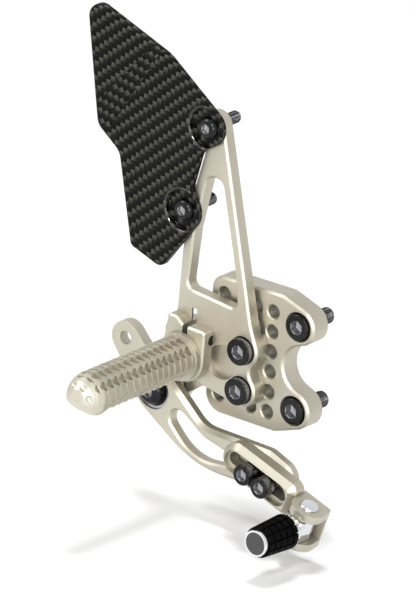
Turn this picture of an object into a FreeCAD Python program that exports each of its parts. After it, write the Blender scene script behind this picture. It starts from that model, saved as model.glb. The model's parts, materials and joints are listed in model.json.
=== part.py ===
import FreeCAD, Part
import math
import os
import re

import Sketcher

# Rear set footrest: adapter plate, heel bracket with clamped foot peg, carbon guard and foot lever.
# Frame: +X forward, +Y into the machine, +Z up, in millimetres. The origin is midway between the two
# frame screws, on the adapter plate's back face. Depths are measured from that face towards -Y.

Vector = FreeCAD.Vector
OUTWARD = Vector(1, 0, 0)
SIDEWAYS = Vector(0, 1, 0)
doc = FreeCAD.newDocument("RearSetFootrest")
sheet = doc.addObject("Spreadsheet::Sheet", "Sizes")

SIZES = {
    # Adapter plate
    "plate_thickness": 10.5,
    "plate_bevel": 1.1,
    "frame_screw_spacing": 42,
    "frame_wall": 2.4,
    "plate_left": 52,
    "notch_x": 4.5,
    "grid_column_front": -15,
    "grid_column_rear": -25,
    "grid_top": 24,
    "grid_pitch": 10,
    "corner_hole_x": -44,
    "tapped_radius": 3.4,
    "hole_bevel": 0.5,
    # Frame and bracket screws, M8 cap screws
    "cap_screw_radius": 4,
    "cap_head_radius": 6.5,
    "cap_head_height": 8,
    "cap_socket": 6,
    "cap_socket_depth": 4,
    "cap_head_bevel": 0.7,
    "thread_gap": 0.05,
    "head_gap": 0.4,
    "frame_screw_seat": 4,
    "frame_shank_radius": 3.6,
    "frame_screw_reach": 12,
    "frame_hole_gap": 0.2,
    "bracket_screw_seat": 13.5,
    "bracket_screw_tip": 1,
    "bracket_washer_height": 1.2,
    "washer_gap": 0.1,
    "washer_split": 14,
    # Bracket
    "bracket_thickness": 8.5,
    "bracket_bevel": 1,
    "screw_lobe_radius": 8.4,
    "waist_x": -14.2,
    "relief_depth": 2,
    "relief_z": 11.5,
    "recess_x": -37,
    "recess_z": -5.7,
    "recess_radius": 8.35,
    "recess_depth": 3,
    # Split clamp for the foot peg
    "peg_x": -55.3,
    "peg_z": -6.8,
    "clamp_height": 6.5,
    "clamp_radius": 12.2,
    "clamp_bevel": 0.9,
    "slit_x": -54.35,
    "slit_width": 3,
    "slit_top": 16,
    "web_thickness": 1.2,
    "web_left": -62,
    "web_right": -46,
    "web_bottom": 9,
    "web_top": 22,
    "clamp_screw_z": 3.5,
    "clamp_screw_depth": 19.5,
    "clamp_screw_left": -65,
    "clamp_screw_right": -42.8,
    # Foot peg
    "shank_radius": 7.45,
    "shank_fit": 0.05,
    "shank_end_gap": 0.3,
    "flange_radius": 11.5,
    "flange_thickness": 3,
    "peg_rise": 0.7,
    "peg_radius": 10.9,
    "peg_length": 78.8,
    "nose_cut_start": 66.5,
    "tooth_depth": 0.7,
    "tooth_crest": 0.05,
    "inner_start": 4.85,
    "inner_pitch": 4.2,
    "inner_count": 9,
    "outer_start": 43.2,
    "outer_pitch": 4.59,
    "outer_count": 7,
    "scoop_radius": 2.7,
    "scoop_tip": 0.3,
    "scoop_step": 35,
    "belly_distance": 9.04,
    "belly_lean": 47,
    "belly_start": 3.6,
    "belly_teeth": 14,
    "belly_end": 63.5,
    "dimple_radius": 2.4,
    "dimple_distance": 7.9,
    "dimple_height": 77,
    "dimple_step": 50,
    # Lug and pivot of the foot lever
    "pivot_x": -71.2,
    "pivot_z": -28.3,
    "lug_thickness": 5.5,
    "lug_radius": 11,
    "pivot_screw_radius": 4,
    "pivot_head_radius": 7,
    "pivot_head_height": 4.4,
    "pivot_socket": 5,
    "pivot_screw_length": 13.5,
    "spacer_length": 2,
    "spacer_radius": 6.5,
    "spacer_bore_gap": 0.1,
    "pivot_washer_radius": 6,
    "pivot_washer_height": 0.5,
    # Ball bearing 8 x 19 x 6
    "bearing_radius": 9.5,
    "bearing_width": 6,
    "bearing_fit": 0.02,
    "inner_race_radius": 5.4,
    "outer_race_bore": 8.1,
    "ball_radius": 1.6,
    "ball_count": 8,
    "ball_gap": 0.05,
    "seal_thickness": 0.6,
    "seal_gap": 0.1,
    # Foot lever
    "lever_thickness": 8,
    "lever_gap": 1,
    "arm_thickness": 5.5,
    "lever_bevel": 2,
    "window_bevel": 1,
    "boss_radius": 12.5,
    "lever_lip_radius": 8.5,
    "lever_lip": 1,
    "link_hole_x": -88.8,
    "link_hole_z": -7.8,
    "link_hole_radius": 3.25,
    "link_end_radius": 8.2,
    # Toe piece, in its own frame: e along the slot, n across it
    "toe_mid_x": 0.15,
    "toe_mid_z": -48.45,
    "toe_tilt": 17.5,
    "toe_screw_spacing": 11,
    "toe_gap": 0.3,
    "holder_thickness": 8.7,
    "holder_bevel": 3,
    "holder_half_width": 8.6,
    "holder_recess": 2.5,
    "recess_half_width": 5.7,
    "slot_width": 6.5,
    "toe_screw_radius": 3,
    "toe_head_radius": 5,
    "toe_head_height": 6,
    "toe_socket": 5,
    "toe_socket_depth": 3,
    "toe_washer_height": 1.6,
    "toe_screw_tip": 19,
    "pin_e": 29.5,
    "pin_depth": 30.9,
    "pin_radius": 2.5,
    "pin_head_radius": 4.5,
    "pin_head_height": 1.2,
    "clevis_radius": 8.5,
    "clevis_top": 3.5,
    "clevis_plate": 4,
    "clevis_gap": 12,
    "clevis_back": 22.5,
    "clevis_wall": 3,
    # Folding toe peg
    "tongue_gap": 0.3,
    "tongue_radius": 5.1,
    "collar_radius": 6.4,
    "collar_end": 43.5,
    "core_radius": 4.5,
    "rubber_rear_radius": 8.5,
    "rubber_front_radius": 7.5,
    "rubber_end": 64.5,
    "rubber_groove": 0.7,
    "rubber_groove_width": 0.9,
    "rubber_rings": 4,
    "rubber_slits": 12,
    "toe_peg_end": 66,
    "cap_radius": 5.5,
    "cap_thickness": 1,
    "detent_offset": 4.5,
    "detent_ball_radius": 1.25,
    "detent_fit": 0.05,
    "detent_hole_depth": 6,
    "detent_proud": 0.2,
    "spring_wire_radius": 0.2,
    "spring_pitch": 0.9,
    # Carbon heel guard
    "guard_wall": 2,
    "guard_crown": 4.5,
    "guard_edge": 2,
    "guard_dish_radius": 10,
    "guard_lip": 0.8,
    "guard_screw_radius": 3,
    "guard_head_radius": 5.25,
    "guard_head_height": 3.3,
    "guard_socket": 4,
    "guard_screw_length": 20,
    "upper_guard_x": -51.2,
    "upper_guard_z": 108.3,
    "lower_guard_x": -62,
    "lower_guard_z": 64,
    # Pinch screw of the clamp
    "pinch_screw_radius": 2.5,
    "pinch_head_radius": 4.7,
    "pinch_head_height": 2.5,
    "pinch_socket": 3,
}

# Each outline is a belt that wraps round discs, anticlockwise as the viewer sees it.
# A disc is its name, x, z and radius, and a negative radius is a hollow the belt passes outside.
# A fifth entry names the point that x and z are measured from.
OUTLINES = {
    "plate": [
        ("upper", "0", "frame_screw_spacing / 2", "frame_lobe_radius"),
        ("brow", -11.5, 23.7, 10),
        ("top", "7 - plate_left", 25.2, 7),
        ("bottom", "9 - plate_left", -26.6, 9),
        ("chin", -12.5, -24.8, 10),
        ("lower", "0", "-frame_screw_spacing / 2", "frame_lobe_radius"),
        ("notch", "notch_x", "0",
         "0.2 + frame_lobe_radius - sqrt(notch_x ^ 2 + frame_screw_spacing ^ 2 / 4)"),
    ],
    "bracket": [
        ("lower", "grid_column_rear", "bracket_lower_z", "screw_lobe_radius"),
        ("waist", "waist_x", "bracket_lower_z + grid_pitch",
         "0.1 + screw_lobe_radius - sqrt((waist_x - grid_column_rear) ^ 2 + grid_pitch ^ 2)"),
        ("upper", "grid_column_rear", "bracket_lower_z + 2 * grid_pitch", "screw_lobe_radius"),
        ("hip", -2.2, 23, -20),
        ("apex", -0.1, -0.3, 7, "upper_guard"),
        ("neck", -11.8, -14.4, -8, "upper_guard"),
        ("shoulder", -2.6, 15.2, -6, "lower_guard"),
        ("ear", "lower_guard_x", "lower_guard_z", 7),
        ("armpit", -7.8, -14.5, -6, "lower_guard"),
        ("side", -73, 14, -8),
        ("clamp", "peg_x", "peg_z", "clamp_radius"),
    ],
    "window": [
        ("arch", -47.5, 78, 5.3),
        ("waist", -51.6, 53.5, 6),
        ("left", -55.7, 28.2, 3.8),
        ("right", -34, 26.3, 3.5),
        ("bend", -38.7, 40.3, 6),
    ],
    "clamp": [
        ("bore", "peg_x", "peg_z", "clamp_radius"),
        ("right", "clamp_screw_right - 1.5", 7.5, 1.5),
        ("step", -55, 10.2, -1.2),
        ("ear", -60.3, 10.9, 1.5),
        ("left", "clamp_screw_left + 1.5", 10.9, 1.5),
    ],
    "lug": [
        ("pivot", "pivot_x", "pivot_z", "lug_radius"),
        ("hollow", -48.5, -37.6, -13),
        ("front", -46, -16, 3),
        ("top", -50, 0, 4),
        ("rear", "peg_x - 4", "peg_z + 6", 6),
    ],
    "lever": [
        ("boss", "pivot_x", "pivot_z", "boss_radius"),
        ("belly", -30.5, -3.7, 55),
        ("end", 5, -49.5, 8.8),
        ("top", -3, -46.9, 9.2),
        ("elbow", -35.6, -23.7, -14),
    ],
    "lever_window": [
        ("rear", -55.2, -39, 5),
        ("belly", -37, -28.9, 25),
        ("front", -25.2, -49.4, 3.2),
        ("elbow", -34.3, -28.7, -15),
    ],
    "link": [
        ("end", "link_hole_x", "link_hole_z", "link_end_radius"),
        ("root", "pivot_x", "pivot_z", "boss_radius - 2.5"),
    ],
    "holder": [
        ("rear", -14.9, "-0.4", "holder_half_width"),
        ("low", 16.5, "4.1 - holder_half_width", 4.5),
        ("high", 16.5, "holder_half_width - 4.9", 4.5),
    ],
    "holder_recess": [
        ("rear", "holder_rear_x", "-0.4", "recess_half_width"),
        ("front", 12.1, "-0.4", "recess_half_width"),
    ],
    "holder_slot": [
        ("rear", -16.15, "0", "slot_width / 2"),
        ("front", 13.55, "0", "slot_width / 2"),
    ],
    "clevis": [
        ("pin", "pin_e", "-pin_depth", "clevis_radius"),
        ("back", "pin_e + clevis_radius - 3", "-clevis_back - 2", 2),
        ("rear", 20.5, "-clevis_back - 1.5", 1.5),
    ],
    "tongue": [
        ("left", "pin_e - tongue_radius + 0.5", "0.5 - collar_start", 0.5),
        ("right", "pin_e + tongue_radius - 0.5", "0.5 - collar_start", 0.5),
        ("pin", "pin_e", "-pin_depth", "tongue_radius"),
    ],
    "guard": [
        ("top", -66.8, 34.3, 6.8, "upper_guard"),
        ("flank", -57, -13.2, 8, "upper_guard"),
        ("hollow", -46.9, 12.1, -8, "lower_guard"),
        ("rear", -26.6, -24.1, 3.5, "lower_guard"),
        ("bottom", -13, -27.6, 4.2, "lower_guard"),
        ("lower", -1.6, -1.2, 10, "lower_guard"),
        ("waist", 9.3, 12, -6, "lower_guard"),
        ("neck", 3, -17.3, -7, "upper_guard"),
        ("upper", -1.2, -0.4, 9.6, "upper_guard"),
        ("brow", -35.2, 10.1, 20, "upper_guard"),
    ],
}

# The domed nose of the foot peg: distance back from its tip, and radius
DOME = [(11.8, 10.9), (9.3, 10.3), (6.8, 9.35), (4.6, 8.2), (2.8, 6.85), (1.4, 5.3), (0.5, 3.5), (0.1, 1.7)]

# Sizes that follow from the others
DERIVED = {
    "frame_lobe_radius": "=cap_head_radius + head_gap + frame_wall",
    "bracket_lower_z": "=grid_top - 4 * grid_pitch",
    "bracket_front": "=plate_thickness + bracket_thickness",
    "clamp_front": "=bracket_front + clamp_height",
    "lug_front": "=plate_thickness + lug_thickness",
    "lever_back": "=lug_front + lever_gap",
    "lever_front": "=lever_back + lever_thickness",
    "bearing_back": "=lug_front + spacer_length",
    "bearing_front": "=bearing_back + bearing_width",
    "pivot_seat": "=bearing_front + pivot_washer_height",
    "holder_back": "=lever_front + toe_gap",
    "holder_front": "=holder_back + holder_thickness",
    "recess_floor": "=holder_front - holder_recess",
    "toe_washer_back": "=recess_floor + toe_gap",
    "toe_screw_seat": "=toe_washer_back + toe_washer_height",
    "clevis_low": "=clevis_top - 2 * clevis_plate - clevis_gap",
    "toe_axis_n": "=clevis_top - clevis_plate - clevis_gap / 2",
    "tongue_half": "=clevis_gap / 2 - tongue_gap",
    "collar_start": "=pin_depth + clevis_radius + toe_gap",
    "detent_depth": "=pin_depth + detent_offset",
    "guard_front": "=bracket_front + guard_crown",
    "guard_seat": "=bracket_front + guard_wall",
}

aliases = []


def put(alias, content):
    """Write one named cell of the sheet."""
    aliases.append(alias)
    row = len(aliases)
    sheet.set(f"A{row}", alias.replace("_", " "))
    sheet.set(f"B{row}", str(content))
    sheet.setAlias(f"B{row}", alias)


def name_disc(outline_name, disc):
    """Give the numbers of a disc their own cells and return x, z and radius as expressions."""
    disc_name, *numbers = disc
    anchor = numbers.pop() if len(numbers) > 3 else None
    expressions = []
    for number, suffix in zip(numbers, ("x", "z", "radius")):
        if isinstance(number, str):
            expressions.append(number)
            continue
        alias = f"{outline_name}_{disc_name}_{suffix}"
        if suffix == "radius" and number < 0:
            put(alias, -number)
            expressions.append("-" + alias)
        else:
            put(alias, number)
            expressions.append(alias)
        if anchor and suffix != "radius":
            expressions[-1] = f"{anchor}_{suffix} + {alias}"
    return tuple(expressions)


for alias, number in SIZES.items():
    put(alias, number)
for letter, (back, radius) in zip("abcdefgh", DOME):
    put(f"dome_{letter}_back", back)
    put(f"dome_{letter}_radius", radius)
DISCS = {name: [name_disc(name, disc) for disc in discs] for name, discs in OUTLINES.items()}
for alias, formula in DERIVED.items():
    put(alias, formula)
doc.recompute()


def value(expression):
    """Number that an expression of the sheet's names has now."""
    return float(sheet.evalExpression(str(expression)))


def bound(expression):
    """The expression with each name pointing at its cell."""
    return re.sub(r"[a-z][a-z_]*[a-z]", lambda found: ("Sizes." + found[0]) if found[0] in aliases
                  else found[0], str(expression))


def new_body(name):
    """An empty body whose label names its file."""
    body = doc.addObject("PartDesign::Body", name)
    body.Label = name
    return body


def new_sketch(body, name, plane="XZ_Plane", height="0", turn="0", about=SIDEWAYS):
    """A sketch on an origin plane of the body, moved along the plane's normal by height and turned
    about one of its own axes."""
    sketch = body.newObject("Sketcher::SketchObject", f"{body.Name}_{name}")
    support = next(item for item in body.Origin.OriginFeatures if item.Role == plane)
    sketch.AttachmentSupport = [(support, "")]
    sketch.MapMode = "FlatFace"
    sketch.AttachmentOffset = FreeCAD.Placement(Vector(0, 0, value(height)),
                                                FreeCAD.Rotation(about, value(turn)))
    sketch.setExpression("AttachmentOffset.Base.z", bound(height))
    if turn != "0":
        sketch.setExpression("AttachmentOffset.Rotation.Angle", bound(turn))
    return sketch


def fix_point(sketch, geometry, point, x, y):
    """Bind a point's distances from the sketch origin to two expressions."""
    for kind, expression in (("DistanceX", x), ("DistanceY", y)):
        index = sketch.addConstraint(Sketcher.Constraint(kind, geometry, point, value(expression)))
        sketch.setExpression(f"Constraints[{index}]", bound(expression))


def fix_radius(sketch, geometry, radius):
    """Bind a radius to an expression."""
    index = sketch.addConstraint(Sketcher.Constraint("Radius", geometry, value(radius)))
    sketch.setExpression(f"Constraints[{index}]", bound(radius))


def draw_circle(sketch, x, y, radius):
    """Add a bound circle."""
    circle = Part.Circle(Vector(value(x), value(y), 0), Vector(0, 0, 1), value(radius))
    geometry = sketch.addGeometry(circle, False)
    fix_point(sketch, geometry, 3, x, y)
    fix_radius(sketch, geometry, radius)


def draw_polygon(sketch, points):
    """Add a closed polygon with every corner bound."""
    corners = [Vector(value(x), value(y), 0) for x, y in points]
    lines = [Part.LineSegment(start, end) for start, end in zip(corners, corners[1:] + corners[:1])]
    first = sketch.GeometryCount
    sketch.addGeometry(lines, False)
    for step, (x, y) in enumerate(points):
        before = first + (step - 1) % len(points)
        sketch.addConstraint(Sketcher.Constraint("Coincident", before, 2, first + step, 1))
        fix_point(sketch, first + step, 1, x, y)


def belt_line(start, end):
    """Left-hand normal of the straight run that touches two signed discs."""
    (x0, y0, r0), (x1, y1, r1) = start, end
    distance = math.hypot(x1 - x0, y1 - y0)
    lean = math.asin((r1 - r0) / distance)
    heading = math.atan2(y1 - y0, x1 - x0) - lean
    return Vector(-math.sin(heading), math.cos(heading), 0)


def draw_belt(sketch, discs, inset="0"):
    """Add the closed outline that wraps the discs, moved inwards by inset."""
    insets = [(x, y, f"{radius} - ({inset})") for x, y, radius in discs]
    solid = [tuple(value(item) for item in disc) for disc in insets]
    count = len(solid)
    normals = [belt_line(solid[i], solid[(i + 1) % count]) for i in range(count)]
    first = sketch.GeometryCount
    arcs, lines, ends = [], [], []
    for i, (x, y, radius) in enumerate(solid):
        centre = Vector(x, y, 0)
        arrive = centre - normals[i - 1] * radius
        leave = centre - normals[i] * radius
        start, end = (arrive, leave) if radius > 0 else (leave, arrive)
        circle = Part.Circle(centre, Vector(0, 0, 1), abs(radius))
        arcs.append(Part.ArcOfCircle(circle, circle.parameter(start), circle.parameter(end)))
        ends.append((arrive, leave))
    for i in range(count):
        lines.append(Part.LineSegment(ends[i][1], ends[(i + 1) % count][0]))
    sketch.addGeometry(arcs + lines, False)
    for i, (x, y, radius) in enumerate(insets):
        arc, line, previous = first + i, first + count + i, first + count + (i - 1) % count
        arrive, leave = (1, 2) if solid[i][2] > 0 else (2, 1)
        sketch.addConstraint(Sketcher.Constraint("Tangent", previous, 2, arc, arrive))
        sketch.addConstraint(Sketcher.Constraint("Tangent", line, 1, arc, leave))
        fix_point(sketch, arc, 3, x, y)
        fix_radius(sketch, arc, radius if solid[i][2] > 0 else f"-({radius})")


def pad(body, sketch, length):
    """Extrude a sketch along its plane's normal."""
    feature = body.newObject("PartDesign::Pad", sketch.Name + "_pad")
    feature.Profile = sketch
    feature.setExpression("Length", bound(length))
    return feature


def pocket(body, sketch, length):
    """Cut a sketch against its plane's normal."""
    feature = body.newObject("PartDesign::Pocket", sketch.Name + "_cut")
    feature.Profile = sketch
    feature.setExpression("Length", bound(length))
    return feature


def pad_belt(body, name, discs, back, front, plane="XZ_Plane"):
    """Plate between two depths."""
    sketch = new_sketch(body, name, plane, back)
    draw_belt(sketch, discs)
    return pad(body, sketch, f"{front} - ({back})")


def cut_belt(body, name, discs, back, front, inset="0"):
    """Cut between two depths inside a belt."""
    sketch = new_sketch(body, name, "XZ_Plane", front)
    draw_belt(sketch, discs, inset)
    return pocket(body, sketch, f"{front} - ({back})")


def cut_circles(body, name, circles, back, front, plane="XZ_Plane"):
    """Cut round holes between two depths."""
    sketch = new_sketch(body, name, plane, front)
    for x, y, radius in circles:
        draw_circle(sketch, x, y, radius)
    return pocket(body, sketch, f"{front} - ({back})")


def cut_polygon(body, name, points, back, front, plane="XZ_Plane"):
    """Cut a straight-sided opening between two depths."""
    sketch = new_sketch(body, name, plane, front)
    draw_polygon(sketch, points)
    return pocket(body, sketch, f"{front} - ({back})")


def revolve(body, name, points, kind="Revolution", plane="XZ_Plane", height="0", centre=None):
    """Turn a polygon about the sketch's vertical axis, or about the vertical line at centre."""
    sketch = new_sketch(body, name, plane, height)
    draw_polygon(sketch, points)
    axis = "V_Axis"
    if centre is not None:
        line = Part.LineSegment(Vector(value(centre), -1, 0), Vector(value(centre), 1, 0))
        geometry = sketch.addGeometry(line, True)
        fix_point(sketch, geometry, 1, centre, "-1")
        fix_point(sketch, geometry, 2, centre, "1")
        axis = "Axis0"
    feature = body.newObject("PartDesign::" + kind, sketch.Name + "_turn")
    feature.Profile = sketch
    feature.ReferenceAxis = (sketch, [axis])
    feature.Angle = 360
    return feature


def dress(body, kind, feature, names, size):
    """Chamfer or fillet named edges or faces."""
    dressed = body.newObject("PartDesign::" + kind, f"{feature.Name}_{kind.lower()}")
    dressed.Base = (feature, names)
    dressed.setExpression("Size" if kind == "Chamfer" else "Radius", bound(size))
    return dressed


def front_face(feature, depth):
    """Name of the largest face that looks at the viewer at a depth."""
    faces = [(face.Area, f"Face{index + 1}") for index, face in enumerate(feature.Shape.Faces)
             if face.Surface.TypeId == "Part::GeomPlane"
             and abs(face.Surface.Axis.y) > 0.999 and abs(face.CenterOfMass.y + depth) < 0.001]
    return max(faces)[1]


def opening_edges(feature, depth):
    """Names of the edges round the openings in the front face."""
    face = feature.Shape.getElement(front_face(feature, depth))
    inner = [edge for wire in face.Wires if not wire.isSame(face.OuterWire) for edge in wire.Edges]
    return [f"Edge{index + 1}" for index, edge in enumerate(feature.Shape.Edges)
            if any(edge.isSame(other) for other in inner)]


def rim_edges(feature, axis, position, radii):
    """Names of the round edges of the given radii that lie at a position along an axis."""
    names = []
    for index, edge in enumerate(feature.Shape.Edges):
        if edge.Curve.TypeId != "Part::GeomCircle":
            continue
        centre = edge.Curve.Center
        if abs(getattr(centre, axis) - position) < 0.001 and any(
                abs(edge.Curve.Radius - radius) < 0.001 for radius in radii):
            names.append(f"Edge{index + 1}")
    return names


def place(body, x, depth, z, axis, angle):
    """Put a body at a point of the part's frame, turned about an axis."""
    body.Placement = FreeCAD.Placement(Vector(value(x), -value(depth), value(z)),
                                       FreeCAD.Rotation(axis, value(angle)))
    body.setExpression("Placement.Base.x", bound(x))
    body.setExpression("Placement.Base.y", bound(f"-({depth})"))
    body.setExpression("Placement.Base.z", bound(z))
    body.setExpression("Placement.Rotation.Angle", bound(angle))


def face_viewer(body, x, depth, z):
    """Stand a turned piece so that its own +Z points at the viewer."""
    place(body, x, depth, z, OUTWARD, "90")


def in_toe_frame(body):
    """Turn a toe piece into the slope of its slot."""
    place(body, "toe_mid_x", "0", "toe_mid_z", SIDEWAYS, "toe_tilt")


def toe_point(e, n="0"):
    """x and z in the part's frame of a point e, n of the toe frame."""
    return (f"toe_mid_x + ({e}) * cos(toe_tilt) + ({n}) * sin(toe_tilt)",
            f"toe_mid_z - ({e}) * sin(toe_tilt) + ({n}) * cos(toe_tilt)")


def cut_hexagon(body, across, depth, top):
    """Hexagon socket sunk from the top of a head."""
    half, low, tip = f"{across} / 2", f"{across} / 2 / sqrt(3)", f"{across} / sqrt(3)"
    points = [(half, f"-({low})"), (half, low), ("0", tip),
              (f"-({half})", low), (f"-({half})", f"-({low})"), ("0", f"-({tip})")]
    return cut_polygon(body, "socket", points, f"{top} - ({depth})", top, "XY_Plane")


def cap_screw(name, radius, length, head_radius, head_height, socket, socket_depth, shank=()):
    """Socket cap screw standing on its own origin, which is the underside of the head. The shank is
    the plain part's radius and length, if it has one."""
    body = new_body(name)
    bevel = "cap_head_bevel"
    neck = [(radius, "0")]
    if shank:
        plain, grip = shank
        neck = [(radius, f"-({grip})"), (plain, f"-({grip})"), (plain, "0")]
    revolve(body, "profile", [
        ("0", f"-({length})"), (f"{radius} - {bevel}", f"-({length})"),
        (radius, f"{bevel} - ({length})"), *neck, (head_radius, "0"),
        (head_radius, f"{head_height} - {bevel}"), (f"{head_radius} - {bevel}", head_height),
        ("0", head_height)])
    cut_hexagon(body, socket, socket_depth, head_height)
    return body


def button_screw(name, radius, length, head_radius, head_height, socket, rim):
    """Domed socket screw standing on its own origin, which is the underside of the head."""
    body = new_body(name)
    head = revolve(body, "profile", [
        ("0", f"-({length})"), (f"{radius} * 0.85", f"-({length})"),
        (radius, f"{radius} * 0.15 - ({length})"), (radius, "0"), (head_radius, "0"),
        (head_radius, head_height), ("0", head_height)])
    doc.recompute()
    edges = rim_edges(head, "z", value(head_height), [value(head_radius)])
    dress(body, "Fillet", head, edges, f"{head_height} - {rim}")
    cut_hexagon(body, socket, f"{head_height} * 0.6", head_height)
    return body


def ring(name, bore, radius, height):
    """Flat ring standing on its own origin."""
    body = new_body(name)
    revolve(body, "profile", [(bore, "0"), (radius, "0"), (radius, height), (bore, height)])
    return body


def lock_washer(name, bore, radius, height):
    """Spring washer with its split."""
    body = ring(name, bore, radius, height)
    half = f"({radius} + 1) * tan(washer_split / 2)"
    cut_polygon(body, "split", [("0", "0"), (f"{radius} + 1", f"-({half})"), (f"{radius} + 1", half)],
                "-1", f"{height} + 1", "XY_Plane")
    return body


# Adapter plate
def make_adapter_plate():
    """Billet plate with its grid of tapped holes, two of them taken by the bracket screws."""
    body = new_body("adapter_plate")
    plate = pad_belt(body, "outline", DISCS["plate"], "0", "plate_thickness")
    doc.recompute()
    dress(body, "Chamfer", plate, [front_face(plate, value("plate_thickness"))], "plate_bevel")
    half = "frame_screw_spacing / 2"
    heights = [f"grid_top - {row} * grid_pitch" for row in range(6)]
    taken = (2, 4)
    open_holes = [("grid_column_front", height, "tapped_radius") for height in heights]
    open_holes += [("grid_column_rear", height, "tapped_radius")
                   for row, height in enumerate(heights) if row not in taken]
    open_holes += [("corner_hole_x", heights[0], "tapped_radius"),
                   ("corner_hole_x", heights[5], "tapped_radius")]
    used_holes = [("grid_column_rear", heights[row], "cap_screw_radius + thread_gap") for row in taken]
    cut_circles(body, "tapped", open_holes + used_holes, "0", "plate_thickness")
    cut_circles(body, "frame_holes", [("0", half, "cap_screw_radius + frame_hole_gap"),
                                      ("0", f"-{half}", "cap_screw_radius + frame_hole_gap")],
                "0", "plate_thickness")
    bores = cut_circles(body, "frame_seats", [("0", half, "cap_head_radius + head_gap"),
                                              ("0", f"-{half}", "cap_head_radius + head_gap")],
                        "frame_screw_seat", "plate_thickness")
    doc.recompute()
    rims = rim_edges(bores, "y", -value("plate_thickness"),
                     [value("tapped_radius"), value("cap_head_radius + head_gap")])
    dress(body, "Chamfer", bores, rims, "hole_bevel")


def make_frame_screws():
    """Screws that hold the adapter plate to the frame."""
    for name, side in (("upper", "1"), ("lower", "-1")):
        screw = cap_screw(f"frame_screw_{name}", "cap_screw_radius",
                          "frame_screw_seat + frame_screw_reach", "cap_head_radius",
                          "cap_head_height", "cap_socket", "cap_socket_depth",
                          ("frame_shank_radius", "frame_screw_seat"))
        face_viewer(screw, "0", "frame_screw_seat", f"{side} * frame_screw_spacing / 2")


def make_bracket_screws():
    """Screws and spring washers that hold the bracket to the adapter plate."""
    seat = "bracket_screw_seat + bracket_washer_height"
    for name, rows in (("upper", 2), ("lower", 0)):
        z = f"bracket_lower_z + {rows} * grid_pitch"
        screw = cap_screw(f"bracket_screw_{name}", "cap_screw_radius",
                          f"{seat} - bracket_screw_tip", "cap_head_radius",
                          "cap_head_height", "cap_socket", "cap_socket_depth")
        face_viewer(screw, "grid_column_rear", seat, z)
        washer = lock_washer(f"bracket_lock_washer_{name}", "cap_screw_radius + washer_gap",
                             "cap_head_radius", "bracket_washer_height")
        face_viewer(washer, "grid_column_rear", "bracket_screw_seat", z)


# Bracket with the split clamp and the lever lug
def make_bracket():
    """A-shaped plate, its clamp block and the lug that carries the lever."""
    body = new_body("bracket")
    pad_belt(body, "outline", DISCS["bracket"], "plate_thickness", "bracket_front")
    window = cut_belt(body, "window", DISCS["window"], "plate_thickness", "bracket_front")
    doc.recompute()
    dress(body, "Chamfer", window, [front_face(window, value("bracket_front"))], "bracket_bevel")
    cut_polygon(body, "relief", [("-200", "relief_z"), ("100", "relief_z"), ("100", "300"),
                                 ("-200", "300")],
                "plate_thickness", "plate_thickness + relief_depth")
    block = pad_belt(body, "clamp", DISCS["clamp"], "bracket_front - 2 * bracket_bevel", "clamp_front")
    doc.recompute()
    dress(body, "Chamfer", block, [front_face(block, value("clamp_front"))], "clamp_bevel")
    pad_belt(body, "lug", DISCS["lug"], "plate_thickness", "lug_front")
    cut_circles(body, "bore", [("peg_x", "peg_z", "shank_radius + shank_fit")],
                "plate_thickness", "clamp_front")
    web = [("web_left", "web_bottom"), ("web_right", "web_bottom"), ("web_right", "web_top"),
           ("web_left", "web_top")]
    cut_polygon(body, "web", web, "plate_thickness", "bracket_front - web_thickness")
    left, right = "slit_x - slit_width / 2", "slit_x + slit_width / 2"
    cut_polygon(body, "slit", [(left, "peg_z"), (right, "peg_z"), (right, "slit_top"),
                               (left, "slit_top")], "plate_thickness", "clamp_front")
    cut_circles(body, "recess", [("recess_x", "recess_z", "recess_radius")],
                "bracket_front - recess_depth", "bracket_front")
    rows = ("bracket_lower_z", "bracket_lower_z + 2 * grid_pitch")
    cut_circles(body, "screw_holes",
                [("grid_column_rear", row, "cap_screw_radius + frame_hole_gap") for row in rows],
                "plate_thickness", "bracket_front")
    cut_circles(body, "screw_seats",
                [("grid_column_rear", row, "cap_head_radius + head_gap") for row in rows],
                "bracket_screw_seat", "bracket_front")
    cut_circles(body, "guard_holes",
                [("upper_guard_x", "upper_guard_z", "guard_screw_radius + thread_gap"),
                 ("lower_guard_x", "lower_guard_z", "guard_screw_radius + thread_gap")],
                "plate_thickness", "bracket_front")
    cut_circles(body, "pivot_hole", [("pivot_x", "pivot_z", "pivot_screw_radius + thread_gap")],
                "plate_thickness", "lug_front")
    cut_circles(body, "pinch_hole", [("-clamp_screw_depth", "clamp_screw_z",
                                      "pinch_screw_radius + thread_gap")],
                "clamp_screw_left - 5", "clamp_screw_right", "YZ_Plane")
    cut_circles(body, "pinch_seat", [("-clamp_screw_depth", "clamp_screw_z",
                                      "pinch_head_radius + head_gap")],
                "clamp_screw_left - 5", "clamp_screw_left", "YZ_Plane")


def make_pinch_screw():
    """Screw that closes the clamp on the peg's shank."""
    screw = button_screw("peg_clamp_screw", "pinch_screw_radius",
                         "clamp_screw_right - clamp_screw_left - 0.2", "pinch_head_radius",
                         "pinch_head_height", "pinch_socket", "0.6")
    place(screw, "clamp_screw_left", "clamp_screw_depth", "clamp_screw_z", SIDEWAYS, "-90")


# Foot peg
def tooth_walls():
    """Distances of the teeth's outward walls from the clamp, inner row first."""
    return ([f"inner_start + {step} * inner_pitch" for step in range(int(value("inner_count")))]
            + [f"outer_start + {step} * outer_pitch" for step in range(int(value("outer_count")))])


def saw_teeth(crest, floor, walls):
    """Profile of teeth that stand up straight on their outer side and slope away inwards."""
    points = []
    for wall in walls:
        points += [(crest, wall), (floor, wall)]
    return points


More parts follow.
